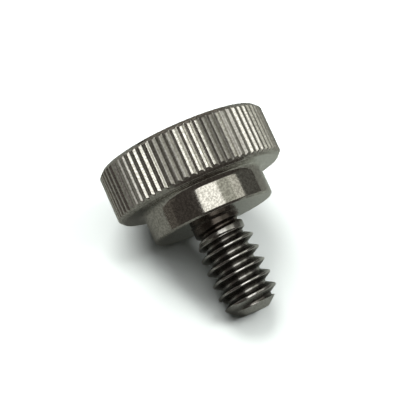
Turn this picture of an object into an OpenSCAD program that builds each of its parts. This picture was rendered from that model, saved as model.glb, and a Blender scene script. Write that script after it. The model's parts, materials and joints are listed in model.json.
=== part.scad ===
// Thumb screw, turned in one piece: a knurled head, a collar below it and a short threaded shank.
// The screw lies on its side, as it comes to rest: on the head's lower edge and the thread's end.
// Its own axis runs from the head towards +X and dips to the floor at z = 0.

/* [Head] */
// Diameter over the knurl's teeth
head_d = 10.3; // [9:0.1:13]
// Height from the flat top to the underside
head_h = 3.25; // [2.4:0.05:5]
// Chamfer at the top and at the underside, at 45 degrees
head_chamfer = 0.28; // [0.2:0.01:0.45]

/* [Knurl] */
// Number of straight teeth
teeth = 72; // [60:4:84]
// Depth of the grooves between the teeth
groove_depth = 0.12; // [0.08:0.01:0.18]
// Width of the flat land on a tooth, in degrees round the head
land_angle = 1.6; // [1.2:0.1:2.2]
// Width of a groove's floor, in degrees round the head
floor_angle = 0.3; // [0.2:0.1:0.6]

/* [Collar] */
// Diameter of the collar
collar_d = 7.4; // [6:0.1:8.2]
// Height of the collar, from the head's underside to its own end face
collar_h = 1.85; // [1.2:0.05:3]
// Small chamfer at the collar's end face
collar_chamfer = 0.12; // [0.05:0.01:0.3]
// Fillet in the corner between collar and head
collar_fillet = 0.4; // [0.1:0.05:0.5]

/* [Shank] */
// Length of the shank, from the collar's end face to the flat tip
shank_l = 5.8; // [4.6:0.1:10]
// Outside diameter of the thread, a No. 6 coarse one
thread_d = 3.42; // [3.38:0.01:3.5]
// Turns of thread in 25.4 mm
turns_per_inch = 32; // [32:4:40]
// Diameter of the plain neck below the collar
neck_d = 2.9; // [2.7:0.05:3.1]
// Length of the neck, before it widens to the thread's diameter
neck_l = 0.9; // [0.6:0.05:1.4]
// Length over which the neck widens
widening_l = 0.9; // [0.4:0.05:1.2]
// Fillet in the corner between neck and collar
neck_fillet = 0.1; // [0.05:0.01:0.15]
// Length of the lead, the last stretch of thread, which tapers a little
lead_l = 0.6; // [0.3:0.05:1]
// Diameter at the lead's end
lead_d = 3.06; // [2.8:0.02:3.3]
// Length of the chamfer between the lead and the flat tip
chamfer_l = 0.55; // [0.4:0.05:0.8]
// Diameter of the flat tip
tip_d = 1.64; // [1.2:0.02:2.2]
// Where the thread's groove begins, in degrees round the axis from the side that lies down
thread_start = 350; // [0:1:359]
// Turn over which the groove comes in from nothing to its full depth, in degrees
run_in = 100; // [80:10:200]

/* [Hidden] */
steel = [0.62, 0.60, 0.57];
round_facets = 144;

// Radii, and heights along the screw's axis from the head's underside
head_r = head_d / 2;
collar_r = collar_d / 2;
neck_r = neck_d / 2;
thread_r = thread_d / 2;
lead_r = lead_d / 2;
tip_r = tip_d / 2;
neck_end = collar_h + neck_l;
thread_full = neck_end + widening_l;
tip_end = collar_h + shank_l;
lead_end = tip_end - chamfer_l;
lead_start = lead_end - lead_l;

// Thread form: 60 degree flanks, a flat crest of an eighth of the pitch and a narrow flat root
pitch = 25.4 / turns_per_inch;
flank_slope = tan(30);
thread_depth = 0.6134 * pitch;
root_r = thread_r - thread_depth;
root_w = pitch * 7 / 8 - 2 * thread_depth * flank_slope;
steps_per_turn = 40;
cutter_over = 0.04;

// The groove's middle starts just clear of the neck's fillet and leaves past the tip
groove_first = collar_h + neck_fillet + root_w / 2;
groove_last = tip_end + pitch;
groove_steps = ceil((groove_last - groove_first) / pitch * steps_per_turn);

// Outline of the shank along its axis, as height and radius
shank_outline = [
  [neck_end, neck_r], [thread_full, thread_r], [lead_start, thread_r], [lead_end, lead_r], [tip_end, tip_r]
];

// Radius of the thread on the side that lies down: the groove's there, and the blank's between its turns
groove_at_floor = groove_first + pitch * (360 - thread_start) / 360;
function from_groove(z) = abs(z - groove_at_floor - pitch * round((z - groove_at_floor) / pitch));
function groove_r(z) = root_r + max(0, from_groove(z) - root_w / 2) / flank_slope;
function thread_r_at(z) = min(lookup(z, shank_outline), groove_r(z));

// The floor's line runs from the head's lowest teeth to the point of collar or thread that stands out most
tooth_angle = 360 / teeth;
grip_r = head_r * cos((tooth_angle - land_angle) / 2);
grip_z = -head_chamfer;
function floor_slope(z, r) = (grip_r - r) / (z - grip_z);
search_step = 0.002;
dip = atan(min(
  floor_slope(collar_h - collar_chamfer, collar_r),
  min([for (z = [thread_full:search_step:tip_end]) floor_slope(z, thread_r_at(z))])
));

// Corners of the lying screw that set its place over the origin
lift = grip_r * cos(dip) + grip_z * sin(dip);
back_x = -head_h * cos(dip) - (head_r - head_chamfer) * sin(dip);
front_x = tip_end * cos(dip) + tip_r * sin(dip);

function arc(x, y, r, from, to, steps = 8) =
  [for (i = [0:steps]) let (a = from + (to - from) * i / steps) [x + r * cos(a), y + r * sin(a)]];

// Half section of the blank: radius, and height along the axis
function flipped(points) = [for (p = points) [p[1], p[0]]];
blank_outline = concat(
  [[0, -head_h], [head_r - head_chamfer, -head_h], [head_r, head_chamfer - head_h],
   [head_r, -head_chamfer], [head_r - head_chamfer, 0]],
  arc(collar_r + collar_fillet, collar_fillet, collar_fillet, 270, 180),
  [[collar_r, collar_h - collar_chamfer], [collar_r - collar_chamfer, collar_h]],
  arc(neck_r + neck_fillet, collar_h + neck_fillet, neck_fillet, 270, 180, 4),
  flipped(shank_outline), [[0, tip_end]]
);

module blank() {
  rotate_extrude($fn = round_facets) polygon(blank_outline);
}

// One groove's right and left edge; beyond the teeth the flanks run on past the blank
function on_circle(r, a) = [r * cos(a), r * sin(a)];
groove_floor_r = head_r - groove_depth;
flank_over = 1.25;
function flank_out(inner, outer) = inner + (outer - inner) * flank_over;
function groove_edges(a) =
  let (mouth = (tooth_angle - land_angle) / 2, inner = floor_angle / 2)
  let (right_in = on_circle(groove_floor_r, a - inner), left_in = on_circle(groove_floor_r, a + inner))
  [flank_out(right_in, on_circle(head_r, a - mouth)), right_in,
   left_in, flank_out(left_in, on_circle(head_r, a + mouth))];

// A star that is wider than the blank at its teeth and cuts its grooves into the head alone
module knurl_star() {
  translate([0, 0, -head_h - 1])
    linear_extrude(height = head_h + tip_end + 2)
      polygon([for (i = [0:teeth - 1]) each groove_edges(i * tooth_angle)]);
}

// One cut of the thread: its four corners as radius and height, lifted out of the metal at the start
function cut_lift(turned) = (thread_depth + cutter_over) * max(0, 1 - turned / run_in);
function cut_corner(turned, r, half_w) =
  let (z = groove_first + pitch * turned / 360, a = thread_start + turned)
  [r * cos(a), r * sin(a), max(z + half_w, collar_h + neck_fillet)];
function cut_section(turned) =
  let (up = cut_lift(turned), outer_r = thread_r + cutter_over + up)
  let (outer_half = root_w / 2 + (thread_depth + cutter_over) * flank_slope)
  [cut_corner(turned, root_r + up, -root_w / 2), cut_corner(turned, root_r + up, root_w / 2),
   cut_corner(turned, outer_r, outer_half), cut_corner(turned, outer_r, -outer_half)];

// A single right-hand V groove swept along its helix
module thread_groove() {
  points = [for (i = [0:groove_steps]) each cut_section(i * 360 / steps_per_turn)];
  last = 4 * groove_steps;
  faces = concat(
    [[0, 1, 2, 3], [last + 3, last + 2, last + 1, last]],
    [for (i = [0:groove_steps - 1]) for (k = [0:3])
      let (a = 4 * i + k, b = 4 * i + (k + 1) % 4)
      each [[a, a + 4, b], [b, a + 4, b + 4]]]
  );
  polyhedron(points, faces, convexity = 12);
}

// The screw upright on its own axis, tip up, with the head's underside at z = 0
module screw() {
  difference() {
    intersection() {
      blank();
      knurl_star();
    }
    thread_groove();
  }
}

// Laid down: the side at angle 0 round the axis faces the floor
module thumb_screw() {
  color(steel)
    translate([-(front_x + back_x) / 2, 0, lift])
      rotate([0, 90 + dip, 0])
        screw();
}

thumb_screw();
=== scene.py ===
import json
import math

import bmesh
import bpy
from mathutils import Matrix, Vector


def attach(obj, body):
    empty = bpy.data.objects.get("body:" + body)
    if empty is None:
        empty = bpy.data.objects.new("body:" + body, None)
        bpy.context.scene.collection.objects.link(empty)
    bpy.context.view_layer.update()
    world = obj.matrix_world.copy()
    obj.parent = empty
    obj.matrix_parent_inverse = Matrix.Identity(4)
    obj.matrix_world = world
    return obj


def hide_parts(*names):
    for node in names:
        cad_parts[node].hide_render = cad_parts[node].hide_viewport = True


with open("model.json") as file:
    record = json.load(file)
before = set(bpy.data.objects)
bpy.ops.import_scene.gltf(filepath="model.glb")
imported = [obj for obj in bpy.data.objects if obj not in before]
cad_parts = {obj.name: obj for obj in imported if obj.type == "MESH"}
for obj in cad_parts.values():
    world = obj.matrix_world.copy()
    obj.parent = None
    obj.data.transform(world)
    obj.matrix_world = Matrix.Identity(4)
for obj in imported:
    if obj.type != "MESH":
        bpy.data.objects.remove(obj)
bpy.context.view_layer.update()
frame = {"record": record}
print("frame loaded")

mm = 0.001  # the screw is shaped in millimetres on its own axis, then laid down in metres
near = 1e-4  # millimetres: points closer than this are one point

mounts = {m["name"]: m for m in frame["record"]["mounts"]}
screwAxis = Vector(mounts["collar_seat"]["axis"]).normalized()
headTop = Vector(mounts["head_top"]["pos_m"])
collarEnd = (Vector(mounts["collar_seat"]["pos_m"]) - headTop).dot(screwAxis) / mm  # from the head's top
collarR = mounts["collar"]["dims"]["r_mm"]
threadR = mounts["thread"]["dims"]["r_mm"]

head = {
    "radius": 5.15,
    "height": 3.25,
    "chamfer": 0.28,
    "edge": 0.035,  # rounding of the turned edges
}
knurl = {
    "teeth": 72,
    "depth": 0.12,
    "land": 1.6,  # degrees round the head
    "floor": 0.3,
    "lean": -0.13,  # how far the groove's bottom is off its middle, so one wall is steeper
    "soft": 0.014,  # rounding of a tooth's edges
    "runOut": 0.006,  # rounding where a groove runs out into a chamfer
    "uneven": 0.06,  # how much the teeth differ, as a share
    "columns": 12,  # mesh columns over one tooth
    "mouthColumns": (-0.2, 0.05, 0.3),  # columns close to the groove's edge, in degrees from it
}
collar = {
    "chamfer": 0.12,
    "fillet": 0.4,
    "edge": 0.02,
}
shank = {
    "length": 5.8,
    "neckRadius": 1.45,
    "neckLength": 1.04,
    "widening": 0.5,
    "neckFillet": 0.1,
    "leadLength": 0.6,  # slight taper of the last turn
    "leadFlat": (0.72, 1.66),  # share of the lead that hardly tapers, and the radius at its end
    "shoulderRadius": 1.518,  # where the taper meets the chamfer
    "chamferLength": 0.55,
    "tipRadius": 0.82,
    "tipRings": (0.97, 0.5, 0.0),  # mesh rings over the flat tip, each as a share of the one before
}
thread = {
    "pitch": 25.4 / 32,
    "depth": 0.6134,  # share of the pitch, and so is the mouth
    "mouth": 7 / 8,  # width of the groove at the crest
    "flankAngle": 30,
    "start": 350.0,  # degrees round the axis from the side that lies down
    "runIn": 100.0,  # degrees over which the groove sinks in
    "lift": 0.04,  # how far above the blank it starts
    "edge": 0.012,  # rounding of the crest's edges
    "soft": 0.022,  # rounding of the groove's bottom
    "rows": 32,  # mesh rows over one pitch
    "steps": 120,  # mesh steps over one turn
}

collarH = collarEnd - head["height"]
tipEnd = collarH + shank["length"]
tipShoulder = tipEnd - shank["chamferLength"]
leadStart = tipShoulder - shank["leadLength"]
threadDepth = thread["pitch"] * thread["depth"]
flank = math.tan(math.radians(thread["flankAngle"]))
rootR = threadR - threadDepth
rootHalf = (thread["pitch"] * thread["mouth"] - 2 * threadDepth * flank) / 2
grooveFirst = collarH + shank["neckFillet"] + rootHalf  # height of the groove's middle where it starts


def blend(a, b, t):
    return a + (b - a) * t


def softMin(a, b, k):  # the smaller of two, with a rounded corner of about k
    if abs(a - b) >= k:
        return min(a, b)
    return min(a, b) - (k - abs(a - b)) ** 2 / (4 * k)


def softMax(a, b, k):
    return -softMin(-a, -b, k)


def between(points, x):  # a broken line through (x, y) points
    for (x0, y0), (x1, y1) in zip(points[:-1], points[1:]):
        if x <= x1:
            return blend(y0, y1, (x - x0) / (x1 - x0))
    return points[-1][1]


def arc(x, y, r, start, end, steps):
    angles = [math.radians(blend(start, end, i / steps)) for i in range(steps + 1)]
    return [Vector((x + r * math.cos(a), y + r * math.sin(a))) for a in angles]


def eased(corner, before, after, r, steps=4):  # a corner with its tip rounded and a row held on either side
    back = (before - corner).normalized()
    on = (after - corner).normalized()
    rounded = []
    for i in range(steps + 1):
        t = i / steps
        rounded.append(corner + back * r * (1 - t) ** 2 + on * r * t ** 2)
    return [corner + back * 2 * r] + rounded + [corner + on * 2 * r]


def divided(a, b, count):  # the rows strictly between two points
    return [a.lerp(b, i / count) for i in range(1, count)]


def headOutline():  # half section from the middle of the top to the end of the neck's fillet
    r, h, c = head["radius"], head["height"], head["chamfer"]
    cc, cf, ce = collar["chamfer"], collar["fillet"], collar["edge"]
    nr, nf = shank["neckRadius"], shank["neckFillet"]
    corners = [
        Vector((0, -h)), Vector((r - c, -h)), Vector((r, c - h)), Vector((r, -c)), Vector((r - c, 0)),
        Vector((collarR + cf, 0)),
    ]
    e = head["edge"]
    topIn = eased(corners[1], corners[0], corners[2], e)
    topOut = eased(corners[2], corners[1], corners[3], e)
    lowOut = eased(corners[3], corners[2], corners[4], e)
    lowIn = eased(corners[4], corners[3], corners[5], e)
    line = [corners[0], Vector((r * 0.5, -h))] + topIn  # a ring halfway over the top
    line += divided(topIn[-1], topOut[0], 7) + topOut
    line += divided(topOut[-1], lowOut[0], 5) + lowOut
    line += divided(lowOut[-1], lowIn[0], 7) + lowIn
    line += arc(collarR + cf, cf, cf, 270, 180, 7)
    bevel = [Vector((collarR, collarH - cc)), Vector((collarR - cc, collarH))]
    line += divided(line[-1], bevel[0], 3)
    line += eased(bevel[0], line[-1], bevel[1], ce, 3)
    line += eased(bevel[1], bevel[0], Vector((nr, collarH)), ce, 3)
    line += [Vector((blend(collarR, nr, 0.6), collarH))]  # and one on the collar's end
    line += arc(nr + nf, collarH + nf, nf, 270, 180, 4)
    return line


def columnAngles():  # where the columns of half a tooth stand, in degrees from the groove's middle
    half = 180 / knurl["teeth"]
    inner, mouth = knurl["floor"] / 2, half - knurl["land"] / 2
    return [0, inner * 1.6, blend(inner, mouth, 0.5)] + [mouth + d for d in knurl["mouthColumns"]] + [half]


def unevenness(tooth):  # a steady small difference from tooth to tooth
    return math.sin(tooth * 2.4) * 0.5 + math.sin(tooth * 5.1 + 1.3) * 0.5


def leaned(offset):  # moves a column sideways, most at the groove's bottom
    mouth = 180 / knurl["teeth"] - knurl["land"] / 2
    return offset + knurl["lean"] * max(0, 1 - abs(offset) / mouth)


def grooveDepth(offset, tooth):  # depth of the knurl at an angle from a groove's middle
    half = 180 / knurl["teeth"]
    inner, mouth = knurl["floor"] / 2, half - knurl["land"] / 2
    mouth *= 1 + knurl["uneven"] * 0.5 * unevenness(tooth)
    depth = knurl["depth"] * (1 + knurl["uneven"] * unevenness(tooth + 0.5))
    slope = depth * (mouth - abs(offset)) / (mouth - inner)
    return softMax(0, softMin(slope, depth, knurl["soft"]), knurl["soft"])


def cutKnurl(bm):  # moves the columns to the teeth's edges, and the grooves inwards
    hollow = bm.verts.layers.float.new("hollow")
    toothAngle = 360 / knurl["teeth"]
    angles = columnAngles()
    half = knurl["columns"] // 2
    for v in bm.verts:
        r = math.hypot(v.co.x, v.co.y)
        if r < near:
            continue
        column = round(math.degrees(math.atan2(v.co.y, v.co.x)) / toothAngle * knurl["columns"])
        tooth, side = divmod(column + half, knurl["columns"])
        side -= half
        offset = math.copysign(angles[abs(side)], side)
        a = math.radians(tooth * toothAngle + leaned(offset))
        if v.co.z <= 0:
            cut = softMin(r, head["radius"] - grooveDepth(offset, tooth), knurl["runOut"])
            v[hollow] = (r - cut) / knurl["depth"]
            r = cut
        v.co.x, v.co.y = r * math.cos(a), r * math.sin(a)


def everything(bm):
    return bm.verts[:] + bm.edges[:] + bm.faces[:]


def spun(bm, line, angle, steps, climb=0.0):  # sweeps a chain of points round the axis
    verts = [bm.verts.new((p.x, 0, p.y)) for p in line]
    edges = [bm.edges.new(pair) for pair in zip(verts[:-1], verts[1:])]
    turn = {"cent": (0, 0, 0), "axis": (0, 0, 1), "angle": math.radians(angle), "steps": steps}
    bmesh.ops.spin(bm, geom=verts + edges, dvec=(0, 0, climb / steps), **turn)


def repeated(bm, copies, angle, climb=0.0):  # sets copies of all that is there side by side, as one surface
    turn = {"cent": (0, 0, 0), "axis": (0, 0, 1), "angle": math.radians(angle * copies), "steps": copies}
    bmesh.ops.spin(bm, geom=everything(bm), dvec=(0, 0, climb), use_duplicate=True, **turn)
    bmesh.ops.remove_doubles(bm, verts=bm.verts, dist=near)


def sliced(bm, z, **clear):  # cuts the mesh at a height, and clears one side where asked
    bmesh.ops.bisect_plane(bm, geom=everything(bm), plane_co=(0, 0, z), plane_no=(0, 0, 1), **clear)


def makeHead():
    bm = bmesh.new()
    toothAngle = 360 / knurl["teeth"]
    spun(bm, headOutline(), toothAngle, knurl["columns"])
    repeated(bm, knurl["teeth"] - 1, toothAngle)
    cutKnurl(bm)
    return bm


def blankRadius(z):  # the shank before its thread is cut
    end = collarH + shank["neckLength"]
    share, radius = shank["leadFlat"]
    outline = [
        (collarH, shank["neckRadius"]),
        (end, shank["neckRadius"]),
        (end + shank["widening"], threadR),
        (leadStart, threadR),
        (leadStart + shank["leadLength"] * share, radius),
        (tipShoulder, shank["shoulderRadius"]),
        (tipEnd, shank["tipRadius"]),
        (tipEnd + 2 * thread["pitch"], shank["tipRadius"]),
    ]
    return between(outline, z)


def threadRadius(angle, z):  # the groove's own surface at an angle round the axis and a height
    pitch = thread["pitch"]
    turned = (angle - thread["start"]) / 360
    turn = round((z - grooveFirst) / pitch - turned)
    away = abs(z - grooveFirst - pitch * (turned + turn))
    lift = (threadDepth + thread["lift"]) * max(0, 1 - (turned + turn) * 360 / thread["runIn"])
    return softMax(rootR, rootR + (away - rootHalf) / flank, thread["soft"]) + lift


def makeShank():
    bm = bmesh.new()
    pitch, rows, steps = thread["pitch"], thread["rows"], thread["steps"]
    turns = math.ceil((tipEnd - collarH) / pitch) + 2
    first = grooveFirst - pitch * 1.5
    line = [Vector((threadR, first + pitch * i / rows)) for i in range(rows + 1)]
    spun(bm, line, 360, steps, pitch)
    repeated(bm, turns - 1, 360, pitch)
    spin = math.radians(thread["start"])
    bmesh.ops.rotate(bm, cent=(0, 0, 0), matrix=Matrix.Rotation(spin, 3, "Z"), verts=bm.verts)
    low = collarH + shank["neckFillet"]
    sliced(bm, leadStart)
    sliced(bm, tipShoulder)
    sliced(bm, tipEnd, clear_outer=True)
    sliced(bm, low, clear_inner=True)
    hollow = bm.verts.layers.float.new("hollow")
    for v in bm.verts:
        angle = math.degrees(math.atan2(v.co.y, v.co.x))
        blank = blankRadius(v.co.z)
        r = softMin(blank, threadRadius(angle, v.co.z), thread["edge"])
        if v.co.z < low + near:  # the open rim that meets the collar's fillet
            r = shank["neckRadius"]
        v[hollow] = (blank - r) / threadDepth
        v.co.x, v.co.y = r * math.cos(math.radians(angle)), r * math.sin(math.radians(angle))
    return bm


def rimAt(bm, z):  # the open edges at one height
    return [e for e in bm.edges if e.is_boundary and all(abs(v.co.z - z) < near for v in e.verts)]


def closeTip(bm):  # rings inwards, and the last one shut to a point
    for share in shank["tipRings"]:
        made = bmesh.ops.extrude_edge_only(bm, edges=rimAt(bm, tipEnd))["geom"]
        ring = [g for g in made if isinstance(g, bmesh.types.BMVert)]
        bmesh.ops.scale(bm, vec=(share, share, 1), verts=ring)
    bmesh.ops.remove_doubles(bm, verts=ring, dist=near)


def layDown():  # from the upright screw in millimetres to its place in the frame
    down = (Vector((0, 0, -1)) + screwAxis * screwAxis.z).normalized()
    turn = Matrix((down, screwAxis.cross(down), screwAxis)).transposed()
    return turn, headTop + screwAxis * head["height"] * mm


def makeScrew():
    bm = makeHead()
    print("head turned and knurled,", len(bm.faces), "faces")
    shankMesh = makeShank()
    print("thread cut,", len(shankMesh.faces), "faces")
    held = bpy.data.meshes.new("shank")
    shankMesh.to_mesh(held)
    shankMesh.free()
    bm.from_mesh(held)
    bpy.data.meshes.remove(held)
    bmesh.ops.bridge_loops(bm, edges=rimAt(bm, collarH + shank["neckFillet"]))
    closeTip(bm)
    bmesh.ops.recalc_face_normals(bm, faces=bm.faces)
    for f in bm.faces:
        f.smooth = True

    turn, origin = layDown()
    bm.transform(Matrix.Translation(origin) @ turn.to_4x4() @ Matrix.Scale(mm, 4))
    mesh = bpy.data.meshes.new("thumbScrew")
    bm.to_mesh(mesh)
    bm.free()
    piece = bpy.data.objects.new("thumbScrew", mesh)
    bpy.context.scene.collection.objects.link(piece)
    return piece


class Socket:  # a shader value that takes part in sums; each operator adds its Math node
    def __init__(self, tree, out):
        self.tree, self.out = tree, out

    def math(self, how, other=0.0, clamp=False):
        return self.tree.node("ShaderNodeMath", {"operation": how, "use_clamp": clamp}, {0: self, 1: other})

    def __add__(self, other):
        return self.math("ADD", other)

    def __sub__(self, other):
        return self.math("SUBTRACT", other)

    def __rsub__(self, other):
        return self.tree.node("ShaderNodeMath", {"operation": "SUBTRACT"}, {0: other, 1: self})

    def __mul__(self, other):
        return self.math("MULTIPLY", other)

    __radd__, __rmul__ = __add__, __mul__


class Shader:
    def __init__(self, name):
        self.material = bpy.data.materials.new(name)
        self.material.use_nodes = True
        self.nodes = self.material.node_tree.nodes
        self.links = self.material.node_tree.links
        self.surface = self.nodes["Principled BSDF"]

    def node(self, kind, settings=None, inputs=None, out=0):
        made = self.nodes.new(kind)
        for name, value in (settings or {}).items():
            setattr(made, name, value)
        self.feed(made, inputs or {})
        return Socket(self, made.outputs[out])

    def feed(self, made, inputs):
        for name, value in inputs.items():
            if isinstance(value, Socket):
                self.links.new(value.out, made.inputs[name])
            else:
                made.inputs[name].default_value = value

    def mix(self, share, low, high):  # from one colour to another
        low, high = [c if isinstance(c, Socket) else (*c, 1) for c in (low, high)]
        return self.node("ShaderNodeMix", {"data_type": "RGBA"}, {0: share, 6: low, 7: high}, out=2)


steel = {
    "colour": (0.745, 0.729, 0.688),
    "threadColour": (0.80, 0.797, 0.782),
    "threadDull": (0.62, 0.616, 0.60),
    "dull": (0.43, 0.416, 0.383),  # colour in the grain's dark specks
    "knurlColour": (0.96, 0.945, 0.90),
    "knurlDull": (0.60, 0.585, 0.545),
    "dirt": (0.115, 0.105, 0.095),  # painted shade at the bottom of the grooves, and the colour the dull places' real dirt takes
    "knurlDirt": 0.45,  # how much of the painted shade the knurl's grooves take
    # share of the painted shade in the thread's groove, and of the neck's real stain
    "threadDirt": 0.9,
    "rootDirt": 0.5,  # share of the painted groove shade that stays on the thread's root, which is left lighter
    "knurlHollow": (0.7, 3.3),  # share of the depth where the painted shade starts, and how fast it grows from there
    "rootHollow": (0.82, 5.5),
    "threadHollow": 4.0,
    "neckDirt": (0.08, 0.06, 0.048),  # the stain next to the collar is browner
    "neckDirtEnd": (0.65, 1.15),  # from the collar: where the stain starts to fade, and where it ends
    "dullPlaces": (  # on the knurl: angle, half width, share of dirt, added roughness
        (174.8, 7.5, 0.45, 0.13),
        (206.5, 8.5, 0.38, 0.11),
        (160.6, 5.0, 0.3, 0.09),
        (121.0, 11.0, 0.0, 0.19),
        (242.5, 8.0, 0.0, 0.11),
    ),
    "roughness": 0.12,
    "knurlRoughness": 0.26,
    "threadRoughness": 0.17,
    "dirtRoughness": 0.12,  # added where the grooves' painted shade and the neck's stain lie
    "grainRoughness": 0.06,  # how much it differs from speck to speck
    "grain": 8.5,  # specks in a millimetre
    "specks": (0.37, 4.0),  # grain value where the bright colour starts, and how fast it takes over
    "grainHeight": 0.0006,  # millimetres
    "turning": 9.0,  # turned lines in a millimetre
    "turningHeight": 0.0012,
    "turningSlant": 0.7,  # carries the turned lines over the flat faces too
}


def rising(value, start, rate):  # 0 up to a start, then growing to 1
    return ((value - start) * rate).math("MAXIMUM", 0.0, True)


def steelMaterial():
    s = Shader("turnedSteel")
    turn, origin = layDown()
    here = s.node("ShaderNodeTexCoord", out="Object")
    onAxis = s.node("ShaderNodeMapping", {"vector_type": "TEXTURE"}, {
        "Vector": here, "Location": origin, "Rotation": turn.to_euler(), "Scale": (mm, mm, mm)})
    x, y, z = [s.node("ShaderNodeSeparateXYZ", {}, {0: onAxis}, out=i) for i in range(3)]
    radius = (x * x + y * y).math("SQRT")
    hollow = s.node("ShaderNodeAttribute", {"attribute_name": "hollow"}, out="Fac")
    hollow = hollow.math("MAXIMUM", 0.0, True)
    edge = head["radius"] - knurl["depth"] - 0.02  # just inside the grooves' bottoms
    inKnurl = radius.math("GREATER_THAN", edge) * z.math("LESS_THAN", 0.0)
    grain = s.node("ShaderNodeTexNoise", {}, {
        "Vector": onAxis, "Scale": steel["grain"], "Detail": 2.0,
        "Roughness": 0.6}, out="Fac")
    lines = s.node("ShaderNodeTexNoise", {"noise_dimensions": "1D"}, {
        "W": z + radius * steel["turningSlant"], "Scale": steel["turning"], "Detail": 3.0,
        "Roughness": 0.65}, out="Fac")
    # painted shade deepening into the knurl's grooves
    deep = rising(hollow, *steel["knurlHollow"]) * inKnurl
    lighterRoot = rising(hollow, *steel["rootHollow"]) * (1 - steel["rootDirt"])
    # painted shade deepening into the thread's groove, less on its root
    shankShadeAndStain = ((hollow * steel["threadHollow"]).math("MINIMUM", 1.0, True) - lighterRoot) * (1 - inKnurl)
    fade, end = [collarH + d for d in steel["neckDirtEnd"]]
    onNeck = ((end - z) * (1 / (end - fade))).math("MINIMUM", 1.0, True)
    onShank = z.math("GREATER_THAN", collarH + 0.01)  # just past the collar's end
    # the neck's real stain next to the collar joins the thread's painted shade
    shankShadeAndStain = shankShadeAndStain.math("MAXIMUM", onNeck * onShank)
    shadeAndDirtShare = deep * steel["knurlDirt"] + shankShadeAndStain * steel["threadDirt"]
    dirt = s.mix(onNeck * onShank, steel["dirt"], steel["neckDirt"])
    dullness = blunt = 0
    for place, width, share, added in steel["dullPlaces"]:
        place, edge = math.radians(place), math.cos(math.radians(width))
        facing = (x * math.cos(place) + y * math.sin(place)).math("DIVIDE", radius)
        within = rising(facing, edge, 2 / (1 - edge)) * inKnurl
        dullness = within * share + dullness
        blunt = within * added + blunt
    speck = rising(grain, *steel["specks"])
    dull = s.mix(onShank, steel["dull"], steel["threadDull"])
    bright = s.mix(onShank, steel["colour"], steel["threadColour"])
    knurled = s.mix(speck, steel["knurlDull"], steel["knurlColour"])
    clean = s.mix(inKnurl, s.mix(speck, dull, bright), knurled)
    # the dull places take real dirt; the grooves take the painted shade, the neck its stain
    withShadeAndDirt = s.mix(shadeAndDirtShare, s.mix(dullness, clean, steel["dirt"]), dirt)
    rough = steel["roughness"] + inKnurl * (steel["knurlRoughness"] - steel["roughness"])
    rough = rough + onShank * (steel["threadRoughness"] - steel["roughness"])
    rough = rough + (grain - 0.5) * steel["grainRoughness"] + shadeAndDirtShare * steel["dirtRoughness"] + blunt
    height = grain * steel["grainHeight"] + lines * steel["turningHeight"]
    normal = s.node("ShaderNodeBump", {}, {"Strength": 1.0, "Distance": mm, "Height": height})
    s.feed(s.surface, {"Metallic": 1.0, "Roughness": rough, "Base Color": withShadeAndDirt, "Normal": normal})
    return s.material


def bare(name, colour, glow=0.0):  # plain matt colour for the studio's surfaces, with an even glow where asked, which is painted light
    s = Shader(name)
    s.feed(s.surface, {"Base Color": (*colour, 1), "Roughness": studio["roughness"]})
    s.feed(s.surface, {"Emission Color": (*colour, 1), "Emission Strength": glow})
    return s.material


screw = makeScrew()
screw.data.materials.append(steelMaterial())
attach(screw, "root")
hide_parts("thumb_screw")
print("screw finished")

studio = {
    "roughness": 0.9,
    "floor": (0.755, 0.80, 0.775),
    "floorReach": (-1, 1, -1, 1),  # its edges: from and to along X, then along Y
    "table": (0.70, 0.695, 0.65),  # the floor as the steel sees it
    # painted light: the table glows evenly in place of the room's light
    "tableGlow": 0.022,
    "tableReach": (-0.3, 0.017, -0.057, 0.09),
    "tableHeight": -2e-5,
    "room": (0.056, 0.049, 0.043),
    "sunDistance": 0.3,
    "backdrop": (1.0, 1.0, 1.0),
    "backdropRadius": 0.5,
}
panels = {  # toward, distance, size along the screw and across it, light, what it lights
    "key": ((0.262, -0.125, 0.957), 0.3, (0.24, 0.21), (1.34, 1.34, 1.26), "screw"),
    "sideLow": ((0.20, 0.42, 0.88), 0.3, (0.24, 0.13), (0.44, 0.45, 0.39), "screw"),
    "side": ((0.12, 0.71, 0.69), 0.3, (0.24, 0.085), (0.62, 0.62, 0.555), "screw"),
    "wall": ((-0.05, 0.95, 0.30), 0.4, (0.6, 0.26), (0.04, 0.045, 0.04), "screw"),
    "behind": ((-0.95, 0.04, 0.31), 0.4, (0.2, 0.6), (0.14, 0.13, 0.115), "screw"),
    "farSide": ((-0.1, -0.99, 0.07), 0.4, (0.6, 0.13), (0.045, 0.042, 0.035), "screw"),
    "farTop": ((-0.74, -0.52, 0.42), 0.4, (0.2, 0.2), (0.28, 0.27, 0.25), "screw"),
    "bounce": ((0.0, 0.88, 0.48), 0.0125, (0.006, 0.006), (0.98, 1.12, 1.1), "table"),
}
suns = {  # toward, softness in degrees, brightness of the open surface, what it lights
    "overhead": ((0.14, -0.01, 0.99), 54, 0.35, "floor"),
    "left": ((-0.56, -0.04, 0.83), 43, 0.865, "floor"),
    "right": ((0.37, 0.44, 0.82), 20, 0.46, "floor"),
    "window": ((-0.62, 0.36, 0.695), 80, 0.21, "table"),
}


def staged(name, mesh, material):
    held = bpy.data.objects.new(name, mesh)
    bpy.context.scene.collection.objects.link(held)
    held.data.materials.append(material)
    return held


def sheet(name, west, east, south, north, height=0.0):  # one flat face
    bm = bmesh.new()
    bmesh.ops.create_grid(bm, x_segments=1, y_segments=1, size=0.5)
    bmesh.ops.scale(bm, vec=(east - west, north - south, 1), verts=bm.verts)
    bmesh.ops.translate(bm, vec=((east + west) / 2, (north + south) / 2, height), verts=bm.verts)
    mesh = bpy.data.meshes.new(name)
    bm.to_mesh(mesh)
    bm.free()
    return mesh


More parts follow.
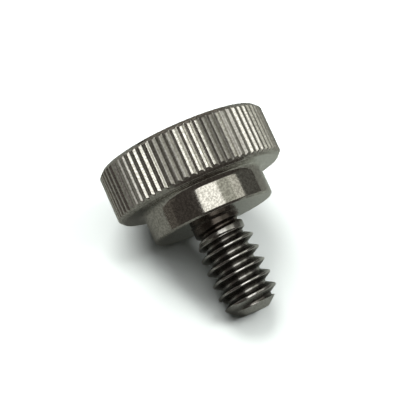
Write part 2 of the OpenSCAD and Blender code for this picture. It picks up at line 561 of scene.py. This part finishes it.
def litFrom(name, kind, toward, distance):  # a lamp that looks at the screw from one side
    data = bpy.data.lights.new(name, kind)
    lamp = bpy.data.objects.new(name, data)
    bpy.context.scene.collection.objects.link(lamp)
    back = Vector(toward).normalized()
    across = back.cross(Vector((1, 0, 0))).normalized()
    lamp.matrix_world = Matrix((across.cross(back), across, back)).transposed().to_4x4()
    lamp.matrix_world.translation = back * distance
    return lamp


def softbox(name, toward, distance, size, light):
    lamp = litFrom(name, "AREA", toward, distance)
    lamp.data.shape = "RECTANGLE"
    lamp.data.size, lamp.data.size_y = size
    radiance = max(light)
    lamp.data.energy = radiance * math.pi * size[0] * size[1]
    lamp.data.color = [c / radiance for c in light]
    return lamp


def lightOnly(lamp, name, things):  # the lamp lights these and nothing else
    group = bpy.data.collections.new(name)
    for thing in things:
        group.objects.link(thing)
    lamp.light_linking.receiver_collection = group


def makeBackdrop():  # a bright wall all round that only the camera sees
    bm = bmesh.new()
    r = studio["backdropRadius"]
    bmesh.ops.create_cone(bm, segments=96, radius1=r, radius2=r, depth=2 * r)
    mesh = bpy.data.meshes.new("backdrop")
    bm.to_mesh(mesh)
    bm.free()
    s = Shader("backdrop")
    s.feed(s.surface, {"Base Color": (0, 0, 0, 1)})
    s.feed(s.surface, {"Emission Color": (*studio["backdrop"], 1), "Emission Strength": 1.0})
    wall = staged("backdrop", mesh, s.material)
    wall.visible_glossy = wall.visible_diffuse = wall.visible_shadow = False


def makeStudio():
    floor = staged("floor", sheet("floor", *studio["floorReach"]), bare("paleFloor", studio["floor"]))
    floor.visible_glossy = False  # the steel reflects the table instead
    floor.visible_shadow = False
    tableMesh = sheet("table", *studio["tableReach"], studio["tableHeight"])
    table = staged("table", tableMesh, bare("table", studio["table"], studio["tableGlow"]))
    table.visible_camera = False
    table.visible_shadow = False
    makeBackdrop()
    surfaces = {"floor": floor, "table": table, "screw": screw}
    for name, (toward, distance, size, light, lit) in panels.items():
        lightOnly(softbox(name, toward, distance, size, light), name + "Lit", [surfaces[lit]])
    for name, (toward, softness, brightness, lit) in suns.items():
        sun = litFrom(name, "SUN", toward, studio["sunDistance"])
        sun.data.angle = math.radians(softness)
        sun.data.energy = math.pi * brightness / max(studio[lit])
        lightOnly(sun, name + "Lit", [surfaces[lit]])
    world = bpy.data.worlds.new("studio")
    bpy.context.scene.world = world
    world.use_nodes = True
    world.node_tree.nodes["Background"].inputs["Color"].default_value = (*studio["room"], 1)
    world.cycles_visibility.diffuse = False


makeStudio()
print("studio set up,", len(panels), "panels and", len(suns), "suns")

cameraView = {
    "azimuth": 62.622,
    "elevation": 52.059,
    "roll": 0.315,
    "distance": 0.068957,
    "aim": (-0.000221, -0.000551, 0.004955),
    "lens": 108,
}


def makeCamera():
    data = bpy.data.cameras.new("camera")
    data.lens = cameraView["lens"]
    data.sensor_width = 36
    data.clip_start = 0.001
    data.clip_end = 10
    camera = bpy.data.objects.new("camera", data)
    bpy.context.scene.collection.objects.link(camera)
    turn = Matrix.Rotation(math.radians(cameraView["azimuth"]), 4, "Z")
    turn = turn @ Matrix.Rotation(math.radians(90 - cameraView["elevation"]), 4, "X")
    turn = turn @ Matrix.Rotation(math.radians(cameraView["roll"]), 4, "Z")
    place = Matrix.Translation(cameraView["aim"]) @ turn @ Matrix.Translation((0, 0, cameraView["distance"]))
    camera.matrix_world = place
    bpy.context.scene.camera = camera


makeCamera()
bpy.context.scene.view_settings.view_transform = "Standard"
print("camera placed")
